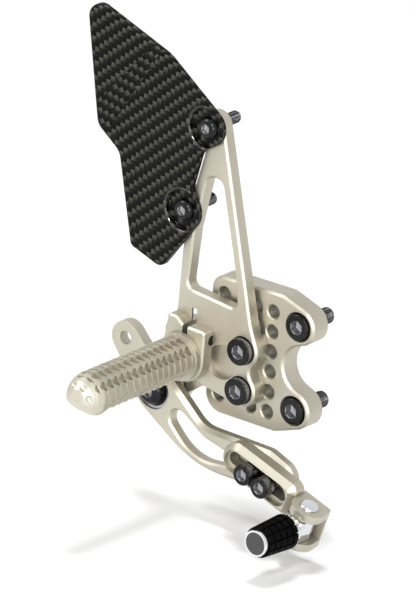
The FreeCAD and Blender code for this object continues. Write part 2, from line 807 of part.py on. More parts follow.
def cut_scoops(body, name, angle, walls):
    """Row of round scoops, each with a flat outward wall and a floor that rises away from it."""
    middle = f"peg_radius * cos({angle})"
    wide, narrow = f"{middle} + scoop_radius", f"{middle} + scoop_tip"
    points = saw_teeth(narrow, wide, walls)
    points[0] = (middle, walls[0])
    last = f"{walls[-1]} + outer_pitch"
    revolve(body, name, points + [(narrow, last), (middle, last)], "Groove", "XZ_Plane",
            f"-(peg_rise + peg_radius * sin({angle}))", middle)


def make_foot_peg():
    """Turned peg: ring teeth, four rows of scoops on top, two toothed flats below and a domed nose
    with dimples. Its own +Z points outwards."""
    body = new_body("foot_peg")
    revolve(body, "shank", [
        ("0", "shank_end_gap - clamp_front + plate_thickness"),
        ("shank_radius", "shank_end_gap - clamp_front + plate_thickness"), ("shank_radius", "0"),
        ("0", "0")])
    dome = [(f"peg_rise + dome_{letter}_radius", f"peg_length - dome_{letter}_back")
            for letter in "abcdefgh"]
    revolve(body, "barrel", [
        ("peg_rise", "0"), ("peg_rise + flange_radius", "0"),
        ("peg_rise + flange_radius", "flange_thickness"), ("peg_rise + peg_radius", "flange_thickness"),
        *dome, ("peg_rise", "peg_length")], plane="YZ_Plane", centre="peg_rise")
    walls = tooth_walls()
    for row, side in enumerate((-1.5, -0.5, 0.5, 1.5)):
        angle = f"90 + {side} * scoop_step"
        cut_scoops(body, f"row_{row}", angle, walls)
    crest, outside = "peg_rise + peg_radius - tooth_crest", "peg_rise + flange_radius"
    floor = "peg_rise + peg_radius - tooth_depth"
    profile = saw_teeth(crest, floor, walls)
    profile[0] = (outside, walls[0])
    revolve(body, "rings", profile + [(outside, "peg_length")], "Groove", "YZ_Plane", centre="peg_rise")
    for side in (-1, 1):
        belly = new_sketch(body, f"belly_{side + 1}", "YZ_Plane", "0", "180 - belly_lean",
                           Vector(0, -side, 0))
        crest = f"belly_distance - peg_rise * cos(belly_lean)"
        floor = f"{crest} - tooth_depth"
        teeth = saw_teeth(crest, floor, walls[:int(value("belly_teeth"))])
        draw_polygon(belly, [("2 * peg_radius", "belly_start"), (crest, "belly_start")] + teeth
                     + [(crest, "belly_end"), ("2 * peg_radius", "belly_end + peg_radius")])
        cut = pocket(body, belly, "2 * peg_radius")
        cut.SideType = "Symmetric"
    cut_polygon(body, "nose_cut", [("peg_rise", "peg_length"),
                                   ("peg_rise - 2 * peg_radius", "peg_length"),
                                   ("peg_rise - 2 * peg_radius", "2 * nose_cut_start - peg_length"),
                                   ], "-2 * peg_radius", "2 * peg_radius", "YZ_Plane")
    for row, side in enumerate((-1.5, -0.5, 0.5, 1.5)):
        angle = f"90 + {side} * dimple_step"
        dimple = body.newObject("PartDesign::SubtractiveSphere", f"foot_peg_dimple_{row}")
        dimple.setExpression("Radius", bound("dimple_radius"))
        for axis, spot in (("x", f"dimple_distance * cos({angle})"),
                           ("y", f"peg_rise + dimple_distance * sin({angle})"),
                           ("z", "dimple_height")):
            dimple.setExpression("Placement.Base." + axis, bound(spot))
    face_viewer(body, "peg_x", "clamp_front", "peg_z")


# Carbon heel guard
def make_heel_guard():
    """Moulded shell: raised field, edges turned back, dished seats for the two screws."""
    body = new_body("heel_guard")
    shell = pad_belt(body, "outline", DISCS["guard"], "bracket_front", "guard_front")
    doc.recompute()
    dress(body, "Fillet", shell, [front_face(shell, value("guard_front"))], "guard_edge")
    ceiling = "guard_front - guard_wall"
    cut_belt(body, "cavity", DISCS["guard"], "bracket_front", ceiling, "guard_wall")
    screws = (("upper_guard_x", "upper_guard_z"), ("lower_guard_x", "lower_guard_z"))
    bosses = new_sketch(body, "bosses", "XZ_Plane", "bracket_front")
    for x, z in screws:
        draw_circle(bosses, x, z, "guard_dish_radius + guard_wall")
    pad(body, bosses, f"{ceiling} - bracket_front")
    trim = new_sketch(body, "trim", "XZ_Plane", "guard_front")
    draw_polygon(trim, [("-300", "-100"), ("100", "-100"), ("100", "300"), ("-300", "300")])
    draw_belt(trim, DISCS["guard"])
    pocket(body, trim, "guard_crown")
    for name, (x, z) in zip(("upper", "lower"), screws):
        lip = [(f"{x} + guard_dish_radius + guard_lip * (1 - cos({turn}))",
                f"guard_lip * (1 - sin({turn})) - guard_front") for turn in (0, 30, 60, 90)]
        revolve(body, f"{name}_dish", [
            (x, "-guard_seat"), (f"{x} + guard_dish_radius", "-guard_seat"), *lip,
            (f"{x} + guard_dish_radius + guard_lip", "-guard_front - guard_lip"),
            (x, "-guard_front - guard_lip")], "Groove", "XY_Plane", z, x)
    cut_circles(body, "screw_holes", [(x, z, "guard_screw_radius + frame_hole_gap") for x, z in screws],
                "bracket_front", "guard_seat")


def make_guard_screws():
    """Button screws that hold the guard on the bracket."""
    for name in ("upper", "lower"):
        screw = button_screw(f"guard_screw_{name}", "guard_screw_radius", "guard_screw_length",
                             "guard_head_radius", "guard_head_height", "guard_socket", "0.5")
        face_viewer(screw, f"{name}_guard_x", "guard_seat", f"{name}_guard_z")


# Pivot of the lever
def make_pivot_stack():
    """Axle screw with the fixed washer and spacer each side of the bearing's inner race."""
    screw = button_screw("pivot_screw", "pivot_screw_radius", "pivot_screw_length",
                         "pivot_head_radius", "pivot_head_height", "pivot_socket", "1")
    face_viewer(screw, "pivot_x", "pivot_seat", "pivot_z")
    bore = "pivot_screw_radius + spacer_bore_gap"
    spacer = ring("pivot_spacer", bore, "spacer_radius", "spacer_length")
    face_viewer(spacer, "pivot_x", "lug_front", "pivot_z")
    washer = ring("pivot_washer", bore, "pivot_washer_radius", "pivot_washer_height")
    face_viewer(washer, "pivot_x", "bearing_front", "pivot_z")


def cut_raceway(body):
    """Round groove for the balls."""
    sketch = new_sketch(body, "raceway")
    draw_circle(sketch, "(inner_race_radius + outer_race_bore) / 2", "bearing_width / 2",
                "ball_radius + ball_gap")
    groove = body.newObject("PartDesign::Groove", sketch.Name + "_turn")
    groove.Profile = sketch
    groove.ReferenceAxis = (sketch, ["V_Axis"])
    groove.Angle = 360


def make_bearing():
    """Deep groove ball bearing: two races, balls and seals."""
    inner = ring("bearing_inner_race", "pivot_screw_radius + bearing_fit", "inner_race_radius",
                 "bearing_width")
    cut_raceway(inner)
    outer = ring("bearing_outer_race", "outer_race_bore", "bearing_radius - bearing_fit",
                 "bearing_width")
    cut_raceway(outer)
    low, high = "inner_race_radius + seal_gap", "outer_race_bore"
    seals = []
    for name, start in (("back", "0"), ("front", "bearing_width - seal_thickness")):
        seal = new_body(f"bearing_seal_{name}")
        end = f"{start} + seal_thickness"
        revolve(seal, "ring", [(low, start), (high, start), (high, end), (low, end)])
        seals.append(seal)
    for body in [inner, outer] + seals:
        face_viewer(body, "pivot_x", "bearing_back", "pivot_z")


def make_balls():
    """The bearing's balls, as one group of solids."""
    pitch = value("(inner_race_radius + outer_race_bore) / 2")
    centre = Vector(value("pivot_x"), -value("bearing_back + bearing_width / 2"), value("pivot_z"))
    count = int(value("ball_count"))
    balls = []
    for step in range(count):
        angle = 2 * math.pi * step / count
        spot = centre + Vector(pitch * math.cos(angle), 0, pitch * math.sin(angle))
        balls.append(Part.makeSphere(value("ball_radius"), spot))
    group = doc.addObject("Part::Feature", "bearing_balls")
    group.Label = "bearing_balls"
    group.Shape = Part.makeCompound(balls)


# Foot lever
def make_lever():
    """Lever with its bearing boss, linkage arm, long window and tapped toe end."""
    body = new_body("foot_lever")
    arm_back = "lever_front - arm_thickness"
    outline = pad_belt(body, "outline", DISCS["lever"], arm_back, "lever_front")
    doc.recompute()
    dress(body, "Chamfer", outline, [front_face(outline, value("lever_front"))], "lever_bevel")
    window = cut_belt(body, "window", DISCS["lever_window"], arm_back, "lever_front")
    doc.recompute()
    dress(body, "Chamfer", window, opening_edges(window, value("lever_front")), "window_bevel")
    pad_belt(body, "link", DISCS["link"], arm_back, "lever_front")
    boss = new_sketch(body, "boss", "XZ_Plane", "lever_back")
    draw_circle(boss, "pivot_x", "pivot_z", "boss_radius")
    pad(body, boss, f"{arm_back} - lever_back")
    cut_circles(body, "pocket", [("pivot_x", "pivot_z", "bearing_radius")],
                "lever_back + lever_lip", "lever_front")
    cut_circles(body, "lip", [("pivot_x", "pivot_z", "lever_lip_radius")], "lever_back", "lever_front")
    cut_circles(body, "link_hole", [("link_hole_x", "link_hole_z", "link_hole_radius")],
                "lever_back", "lever_front")
    holes = [toe_point(f"{side} * toe_screw_spacing / 2") + ("toe_screw_radius + thread_gap",)
             for side in ("1", "-1")]
    cut_circles(body, "toe_holes", holes, "lever_back", "lever_front")


# Toe piece
def make_toe_holder():
    """Slotted bar that clamps on the lever, with the clevis for the folding peg."""
    body = new_body("toe_holder")
    bar = pad_belt(body, "bar", DISCS["holder"], "holder_back", "holder_front")
    doc.recompute()
    dress(body, "Chamfer", bar, [front_face(bar, value("holder_front"))], "holder_bevel")
    cut_belt(body, "recess", DISCS["holder_recess"], "recess_floor", "holder_front")
    cut_belt(body, "slot", DISCS["holder_slot"], "holder_back", "holder_front")
    pad_belt(body, "clevis", DISCS["clevis"], "clevis_low", "clevis_top", "XY_Plane")
    left = "pin_e - tongue_radius - 2"
    cut_polygon(body, "gap", [(left, "-clevis_back - clevis_wall"), (left, "-60"), ("60", "-60"),
                              ("60", "-clevis_back - clevis_wall")],
                "clevis_low + clevis_plate", "clevis_top - clevis_plate", "XY_Plane")
    cut_circles(body, "pin_hole", [("pin_e", "-pin_depth", "pin_radius + bearing_fit")],
                "clevis_low", "clevis_top", "XY_Plane")
    in_toe_frame(body)


def make_toe_screws():
    """Screws and spring washers that clamp the holder on the lever."""
    for name, side in (("front", "1"), ("rear", "-1")):
        x, z = toe_point(f"{side} * toe_screw_spacing / 2")
        screw = cap_screw(f"toe_screw_{name}", "toe_screw_radius", "toe_screw_seat - toe_screw_tip",
                          "toe_head_radius", "toe_head_height", "toe_socket", "toe_socket_depth")
        face_viewer(screw, x, "toe_screw_seat", z)
        washer = lock_washer(f"toe_lock_washer_{name}", "toe_screw_radius + washer_gap",
                             "toe_head_radius", "toe_washer_height")
        face_viewer(washer, x, "toe_washer_back", z)


def make_toe_pin():
    """Hinge pin with a low domed head."""
    body = new_body("toe_pin")
    head = revolve(body, "profile", [
        ("pin_e", "clevis_low"), ("pin_e + pin_radius", "clevis_low"),
        ("pin_e + pin_radius", "clevis_top"), ("pin_e + pin_head_radius", "clevis_top"),
        ("pin_e + pin_head_radius", "clevis_top + pin_head_height"),
        ("pin_e", "clevis_top + pin_head_height")], height="pin_depth", centre="pin_e")
    doc.recompute()
    edges = rim_edges(head, "z", value("clevis_top + pin_head_height"), [value("pin_head_radius")])
    dress(body, "Fillet", head, edges, "pin_head_height * 0.75")
    in_toe_frame(body)


def make_toe_peg():
    """Chrome core of the folding peg: hinge tongue, collar, core and end ring."""
    body = new_body("toe_peg_core")
    pad_belt(body, "tongue", DISCS["tongue"], "toe_axis_n - tongue_half", "toe_axis_n + tongue_half",
             "XY_Plane")
    axis = "pin_e"
    revolve(body, "core", [
        (axis, "0.5 - collar_start"), ("pin_e + tongue_radius - 0.5", "0.5 - collar_start"),
        ("pin_e + tongue_radius - 0.5", "-collar_start"),
        ("pin_e + collar_radius", "-collar_start"), ("pin_e + collar_radius", "-collar_end"),
        ("pin_e + core_radius", "-collar_end"), ("pin_e + core_radius", "-rubber_end"),
        ("pin_e + collar_radius", "-rubber_end"), ("pin_e + collar_radius", "-toe_peg_end"),
        ("pin_e + cap_radius", "-toe_peg_end"), ("pin_e + cap_radius", "cap_thickness - toe_peg_end"),
        (axis, "cap_thickness - toe_peg_end")], plane="XY_Plane", height="toe_axis_n", centre=axis)
    cut_circles(body, "pin_hole", [("pin_e", "-pin_depth", "pin_radius + detent_fit")],
                "toe_axis_n - tongue_half", "toe_axis_n + tongue_half", "XY_Plane")
    cut_circles(body, "detent", [("pin_e", "-detent_depth", "detent_ball_radius + detent_fit")],
                "toe_axis_n - tongue_half", "toe_axis_n - tongue_half + detent_hole_depth", "XY_Plane")
    in_toe_frame(body)


def make_toe_rubber():
    """Rubber sleeve with ring grooves and lengthwise grooves."""
    body = new_body("toe_rubber")
    revolve(body, "sleeve", [
        ("pin_e + core_radius", "-collar_end"), ("pin_e + rubber_rear_radius - 1", "-collar_end"),
        ("pin_e + rubber_rear_radius", "-collar_end - 1"),
        ("pin_e + rubber_front_radius", "1 - rubber_end"),
        ("pin_e + rubber_front_radius - 1", "-rubber_end"), ("pin_e + core_radius", "-rubber_end")],
        plane="XY_Plane", height="toe_axis_n", centre="pin_e")
    pitch = "(rubber_end - collar_end) / (rubber_rings + 1)"
    floor = "pin_e + rubber_rear_radius - rubber_groove"
    slope = "(rubber_rear_radius - rubber_front_radius) / (rubber_end - collar_end)"
    for step in range(1, int(value("rubber_rings")) + 1):
        middle = f"{step} * {pitch}"
        radius = f"{floor} - {middle} * {slope}"
        revolve(body, f"ring_{step}", [
            (radius, f"rubber_groove_width / 2 - collar_end - {middle}"),
            (f"{radius} + 3", f"rubber_groove_width / 2 - collar_end - {middle}"),
            (f"{radius} + 3", f"-rubber_groove_width / 2 - collar_end - {middle}"),
            (radius, f"-rubber_groove_width / 2 - collar_end - {middle}")],
            kind="Groove", plane="XY_Plane", height="toe_axis_n", centre="pin_e")
    slits = new_sketch(body, "slits", "XZ_Plane", "rubber_end")
    low, high = "(rubber_front_radius - rubber_groove)", "(rubber_rear_radius + rubber_groove)"
    half = "rubber_groove_width / 2"
    for step in range(int(value("rubber_slits"))):
        angle = f"({step} * 360 / rubber_slits)"
        draw_polygon(slits, [
            (f"pin_e + {reach} * cos{angle} - {side} * {half} * sin{angle}",
             f"toe_axis_n + {reach} * sin{angle} + {side} * {half} * cos{angle}")
            for reach, side in ((low, -1), (high, -1), (high, 1), (low, 1))])
    pocket(body, slits, "rubber_end - collar_end")
    in_toe_frame(body)


def make_toe_cap():
    """Dark disc in the end ring of the toe peg."""
    body = new_body("toe_cap")
    revolve(body, "disc", [
        ("pin_e", "cap_thickness - toe_peg_end"), ("pin_e + cap_radius", "cap_thickness - toe_peg_end"),
        ("pin_e + cap_radius", "-toe_peg_end"), ("pin_e", "-toe_peg_end")],
        plane="XY_Plane", height="toe_axis_n", centre="pin_e")
    in_toe_frame(body)


def make_detent():
    """Spring-loaded ball that holds the toe peg out."""
    ball = doc.addObject("Part::Sphere", "toe_detent_ball")
    ball.Label = "toe_detent_ball"
    ball.setExpression("Radius", bound("detent_ball_radius"))
    rise = "toe_axis_n - tongue_half - detent_proud + detent_ball_radius"
    x, z = toe_point("pin_e", rise)
    place(ball, x, "detent_depth", z, SIDEWAYS, "toe_tilt")
    body = new_body("toe_detent_spring")
    sketch = new_sketch(body, "wire")
    draw_circle(sketch, "detent_ball_radius - spring_wire_radius - 0.1", "spring_wire_radius",
                "spring_wire_radius")
    helix = body.newObject("PartDesign::AdditiveHelix", "toe_detent_spring_coil")
    helix.Profile = sketch
    helix.ReferenceAxis = (sketch, ["V_Axis"])
    helix.Mode = "pitch-height-angle"
    helix.setExpression("Pitch", bound("spring_pitch"))
    helix.setExpression("Height", bound("detent_hole_depth + detent_proud - 2 * detent_ball_radius"
                                        " - 2 * spring_wire_radius"))
    x, z = toe_point("pin_e", f"{rise} + detent_ball_radius")
    place(body, x, "detent_depth", z, SIDEWAYS, "toe_tilt")


for make in (make_adapter_plate, make_frame_screws, make_bracket_screws, make_bracket,
             make_pinch_screw, make_foot_peg, make_heel_guard, make_guard_screws, make_pivot_stack,
             make_bearing, make_balls, make_lever, make_toe_holder, make_toe_screws, make_toe_pin,
             make_toe_peg, make_toe_rubber, make_toe_cap, make_detent):
    make()
doc.recompute()


def pieces():
    """The finished pieces: every body and loose solid."""
    kinds = ("PartDesign::Body", "Part::Feature", "Part::Sphere")
    return [item for item in doc.Objects if item.TypeId in kinds]


failed = [item.Name for item in doc.Objects if {"Invalid", "Error"} & set(item.State)]
if failed:
    raise RuntimeError("failed objects: " + ", ".join(failed))
for item in doc.Objects:
    if item.TypeId in ("PartDesign::Pocket", "PartDesign::Groove"):
        removed = item.BaseFeature.Shape.Volume - item.Shape.Volume
        if removed <= 0:
            raise RuntimeError(item.Name + " cuts nothing")
for piece in pieces():
    if piece.Shape.isNull() or not piece.Shape.isValid():
        raise RuntimeError(piece.Label + " has no valid shape")

os.makedirs("parts", exist_ok=True)
for piece in pieces():
    piece.Shape.exportStep(f"parts/{piece.Label}.step")
print(len(pieces()), "pieces written")
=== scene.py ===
import json
import math
from types import SimpleNamespace

import bmesh
import bpy
import numpy as np
from mathutils import Matrix, Vector

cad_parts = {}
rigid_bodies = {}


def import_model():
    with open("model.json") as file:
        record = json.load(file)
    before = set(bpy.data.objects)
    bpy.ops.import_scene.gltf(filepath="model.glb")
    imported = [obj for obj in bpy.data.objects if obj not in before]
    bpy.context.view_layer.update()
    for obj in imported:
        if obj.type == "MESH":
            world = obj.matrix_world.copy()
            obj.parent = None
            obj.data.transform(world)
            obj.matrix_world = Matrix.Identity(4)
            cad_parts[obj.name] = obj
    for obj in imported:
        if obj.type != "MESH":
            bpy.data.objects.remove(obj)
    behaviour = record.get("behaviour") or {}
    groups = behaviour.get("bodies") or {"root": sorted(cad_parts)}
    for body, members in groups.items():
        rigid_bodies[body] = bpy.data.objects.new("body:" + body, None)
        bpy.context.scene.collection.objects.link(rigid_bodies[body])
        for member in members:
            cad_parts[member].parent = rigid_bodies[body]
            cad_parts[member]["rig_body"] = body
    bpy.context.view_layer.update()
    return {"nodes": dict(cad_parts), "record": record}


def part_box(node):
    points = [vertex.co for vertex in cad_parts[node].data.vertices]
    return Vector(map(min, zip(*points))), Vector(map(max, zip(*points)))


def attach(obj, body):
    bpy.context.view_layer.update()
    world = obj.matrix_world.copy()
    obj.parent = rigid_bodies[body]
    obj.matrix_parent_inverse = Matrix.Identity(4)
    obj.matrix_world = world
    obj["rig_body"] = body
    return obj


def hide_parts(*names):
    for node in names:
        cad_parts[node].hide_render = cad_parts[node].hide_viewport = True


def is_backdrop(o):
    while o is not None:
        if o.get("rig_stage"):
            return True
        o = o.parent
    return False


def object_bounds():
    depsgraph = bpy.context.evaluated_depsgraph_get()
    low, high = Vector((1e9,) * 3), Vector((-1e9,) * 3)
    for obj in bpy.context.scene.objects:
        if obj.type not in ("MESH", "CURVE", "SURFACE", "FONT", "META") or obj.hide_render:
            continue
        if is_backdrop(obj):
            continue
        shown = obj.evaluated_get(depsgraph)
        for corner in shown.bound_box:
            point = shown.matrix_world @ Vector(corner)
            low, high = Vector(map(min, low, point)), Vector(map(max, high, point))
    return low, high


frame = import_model()

# Rear set footrest: the finishes of its pieces, its threads and the studio.
# Lengths are in millimetres until they reach a mesh, where MM turns them into metres.
MM = 0.001


def linear(hex_colour):
    """Linear colour with alpha of an sRGB hex string."""
    channels = [int(hex_colour[i:i + 2], 16) / 255 for i in (0, 2, 4)]
    return [c / 12.92 if c <= 0.04045 else ((c + 0.055) / 1.055) ** 2.4 for c in channels] + [1.0]


def add(tree, kind, settings):
    """Add one node. A lower-case key is a property, any other key names or numbers an input.
    An input takes a value, or a socket to be linked to."""
    made = tree.nodes.new("ShaderNode" + kind)
    for key, setting in settings.items():
        if isinstance(key, str) and key[0].islower():
            setattr(made, key, setting)
        elif isinstance(setting, bpy.types.NodeSocket):
            tree.links.new(setting, made.inputs[key])
        else:
            made.inputs[key].default_value = setting
    return made


def new_material(name):
    """An empty material and its node tree, with the output left to link."""
    material = bpy.data.materials.new(name)
    material.use_nodes = True
    material.node_tree.nodes.clear()
    return material, material.node_tree


def close(tree, shader):
    """Link a shader to the material's output."""
    output = tree.nodes.new("ShaderNodeOutputMaterial")
    tree.links.new(shader.outputs[0], output.inputs["Surface"])


# Materials

def anodised_aluminium(name, dark, light, painted_shade_share):
    """Champagne anodised aluminium, milled and then bead blasted: a satin metal with a fine grain
    of small pits, edges lightly broken, and a faint drift of tone, with painted shade in tight
    corners. The last argument is the share of the tone that is left in a tight corner."""
    material, tree = new_material(name)
    place = add(tree, "TexCoord", {}).outputs["Object"]
    # The blast pits are about 0.15 mm across; they are drawn at 0.4 mm so that they show.
    pits = add(tree, "TexNoise", {"Vector": place, "Scale": 1 / (0.4 * MM), "Detail": 2.0,
                                  "Roughness": 0.6})
    drift = add(tree, "TexNoise", {"Vector": place, "Scale": 1 / (22 * MM), "Detail": 3.0})
    tone = add(tree, "ValToRGB", {"Fac": drift.outputs["Fac"]})
    tone.color_ramp.elements[0].position = 0.3
    tone.color_ramp.elements[0].color = linear(dark)
    tone.color_ramp.elements[1].position = 0.7
    tone.color_ramp.elements[1].color = linear(light)
    # Painted shade: the tone is darkened in tight corners, by how closed in they are.
    corner = add(tree, "AmbientOcclusion", {"samples": 6, "Distance": 1.4 * MM})
    painted_corner_shade = add(tree, "MapRange", {"Value": corner.outputs["AO"], "From Min": 0.3,
                                  "To Min": painted_shade_share})
    shaded = add(tree, "VectorMath", {"operation": "SCALE", 0: tone.outputs["Color"],
                                      "Scale": painted_corner_shade.outputs[0]})
    rough = add(tree, "MapRange", {"Value": pits.outputs["Fac"], "From Min": 0.3, "From Max": 0.7,
                                   "To Min": 0.42, "To Max": 0.52})
    broken_edge = add(tree, "Bevel", {"samples": 4, "Radius": 0.25 * MM})
    grain = add(tree, "Bump", {"Height": pits.outputs["Fac"], "Strength": 0.12,
                               "Distance": 0.03 * MM, "Normal": broken_edge.outputs[0]})
    close(tree, add(tree, "BsdfPrincipled", {
        "Base Color": shaded.outputs[0], "Metallic": 1.0, "Roughness": rough.outputs[0],
        "Normal": grain.outputs[0]}))
    return material


def black_oxide_steel(name, dark, light):
    """Alloy steel screws, chemically blackened and oiled: near black, with a tight soft gloss. Its
    lighter copies for the rolled threads and the knurled sides of the heads are painted highlight."""
    material, tree = new_material(name)
    place = add(tree, "TexCoord", {}).outputs["Object"]
    # The film varies in patches of about 1.5 mm.
    film = add(tree, "TexNoise", {"Vector": place, "Scale": 1 / (1.5 * MM), "Detail": 4.0})
    tone = add(tree, "ValToRGB", {"Fac": film.outputs["Fac"]})
    tone.color_ramp.elements[0].color = linear(dark)
    tone.color_ramp.elements[1].color = linear(light)
    rough = add(tree, "MapRange", {"Value": film.outputs["Fac"], "To Min": 0.16, "To Max": 0.3})
    broken_edge = add(tree, "Bevel", {"samples": 4, "Radius": 0.15 * MM})
    skin = add(tree, "Bump", {"Height": film.outputs["Fac"], "Strength": 0.1,
                              "Distance": 0.02 * MM, "Normal": broken_edge.outputs[0]})
    close(tree, add(tree, "BsdfPrincipled", {
        "Base Color": tone.outputs["Color"], "Metallic": 1.0, "Roughness": rough.outputs[0],
        "Normal": skin.outputs[0]}))
    return material


def ground_steel(name, dark, light, smoothest):
    """Bright steel with fine lines, as a grinding wheel leaves on a bearing. The screws' sockets
    are drawn in it too, pale grey.
    """
    material, tree = new_material(name)
    place = add(tree, "TexCoord", {}).outputs["Object"]
    # The lines run round the axis, under 0.1 mm apart and about 0.8 mm long.
    stretched = add(tree, "Mapping", {"Vector": place, "Scale": (1.0, 12.0, 1.0)})
    lines = add(tree, "TexNoise", {"Vector": stretched.outputs[0], "Scale": 1 / (0.8 * MM),
                                   "Detail": 3.0})
    tone = add(tree, "ValToRGB", {"Fac": lines.outputs["Fac"]})
    tone.color_ramp.elements[0].color = linear(dark)
    tone.color_ramp.elements[1].color = linear(light)
    rough = add(tree, "MapRange", {"Value": lines.outputs["Fac"], "To Min": smoothest,
                                   "To Max": smoothest + 0.12})
    scratch = add(tree, "Bump", {"Height": lines.outputs["Fac"], "Strength": 0.08,
                                 "Distance": 0.02 * MM})
    close(tree, add(tree, "BsdfPrincipled", {
        "Base Color": tone.outputs["Color"], "Metallic": 1.0, "Roughness": rough.outputs[0],
        "Normal": scratch.outputs[0]}))
    return material


def chrome_plate():
    """Polished chrome plate: a near mirror with the faint waves that buffing leaves."""
    material, tree = new_material("chrome_plate")
    place = add(tree, "TexCoord", {}).outputs["Object"]
    # The waves are about 6 mm from crest to crest.
    waves = add(tree, "TexNoise", {"Vector": place, "Scale": 1 / (6 * MM), "Detail": 1.0})
    tone = add(tree, "ValToRGB", {"Fac": waves.outputs["Fac"]})
    tone.color_ramp.elements[0].color = linear("C6C8CB")
    tone.color_ramp.elements[1].color = linear("DCDDE0")
    rough = add(tree, "MapRange", {"Value": waves.outputs["Fac"], "To Min": 0.05, "To Max": 0.12})
    polish = add(tree, "Bump", {"Height": waves.outputs["Fac"], "Strength": 0.06,
                                "Distance": 0.05 * MM})
    close(tree, add(tree, "BsdfPrincipled", {
        "Base Color": tone.outputs["Color"], "Metallic": 1.0, "Roughness": rough.outputs[0],
        "Normal": polish.outputs[0]}))
    return material


# The guard's weave: tow widths along x and z, how many tows a float passes over, and the narrow
# band across the guard where the cloth runs at another angle. The two lines are the band's edges,
# each as a point and the angle of the line above +X.
TOW_X, TOW_Z = 2.53, 2.34
FLOAT = 3
BAND_TURN = -37
BAND_EDGES = (((-115.8, 102.8), 50.2), ((-108.8, 88.7), 60.0))
# The middle and width of the rolled lip round each guard screw's seat
LIP_RADIUS, LIP_WIDTH = 10.4, 1.6


def cloth_plane(tree):
    """Place on the guard's cloth when laid flat, in metres along x and z."""
    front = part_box("heel_guard")[0].y
    place = add(tree, "TexCoord", {})
    spot = add(tree, "SeparateXYZ", {0: place.outputs["Object"]})
    facing = add(tree, "SeparateXYZ", {0: add(tree, "NewGeometry", {}).outputs["Normal"]})
    depth = add(tree, "Math", {"operation": "SUBTRACT", 0: spot.outputs["Y"], 1: front})
    # The cloth turns over the edges, so depth below the face counts as length along it.
    across = add(tree, "Math", {"operation": "MULTIPLY_ADD", 0: facing.outputs["X"],
                                1: depth.outputs[0], 2: spot.outputs["X"]})
    upward = add(tree, "Math", {"operation": "MULTIPLY_ADD", 0: facing.outputs["Z"],
                                1: depth.outputs[0], 2: spot.outputs["Z"]})
    return add(tree, "CombineXYZ", {0: across.outputs[0], 1: upward.outputs[0]}).outputs[0]


def tow_grid(tree, flat):
    """Place counted in tows, which run at another angle inside the band and lean the other way."""
    inside = []
    for (x, z), angle in BAND_EDGES:
        slant = math.radians(angle)
        to_edge = add(tree, "VectorMath", {"operation": "SUBTRACT", 0: flat,
                                           1: (x * MM, z * MM, 0.0)})
        inside.append(add(tree, "VectorMath", {
            "operation": "DOT_PRODUCT", 0: to_edge.outputs[0],
            1: (math.sin(slant), -math.cos(slant), 0.0)}).outputs["Value"])
    past_left = add(tree, "Math", {"operation": "GREATER_THAN", 0: inside[0], 1: 0.0})
    before_right = add(tree, "Math", {"operation": "LESS_THAN", 0: inside[1], 1: 0.0})
    band = add(tree, "Math", {"operation": "MULTIPLY", 0: past_left.outputs[0],
                              1: before_right.outputs[0]})
    plain = add(tree, "Mapping", {"Vector": flat,
                                  "Scale": (1 / (TOW_X * MM), 1 / (TOW_Z * MM), 1.0)})
    banded = add(tree, "Mapping", {"Vector": flat,
                                   "Rotation": (0.0, 0.0, -math.radians(BAND_TURN)),
                                   "Scale": (-1 / (TOW_X * MM), 1 / (TOW_Z * MM), 1.0)})
    # A vector mix has its inputs at 4 and 5 and its result at 1.
    return add(tree, "Mix", {"data_type": "VECTOR", 0: band.outputs[0], 4: plain.outputs[0],
                             5: banded.outputs[0]}).outputs[1]


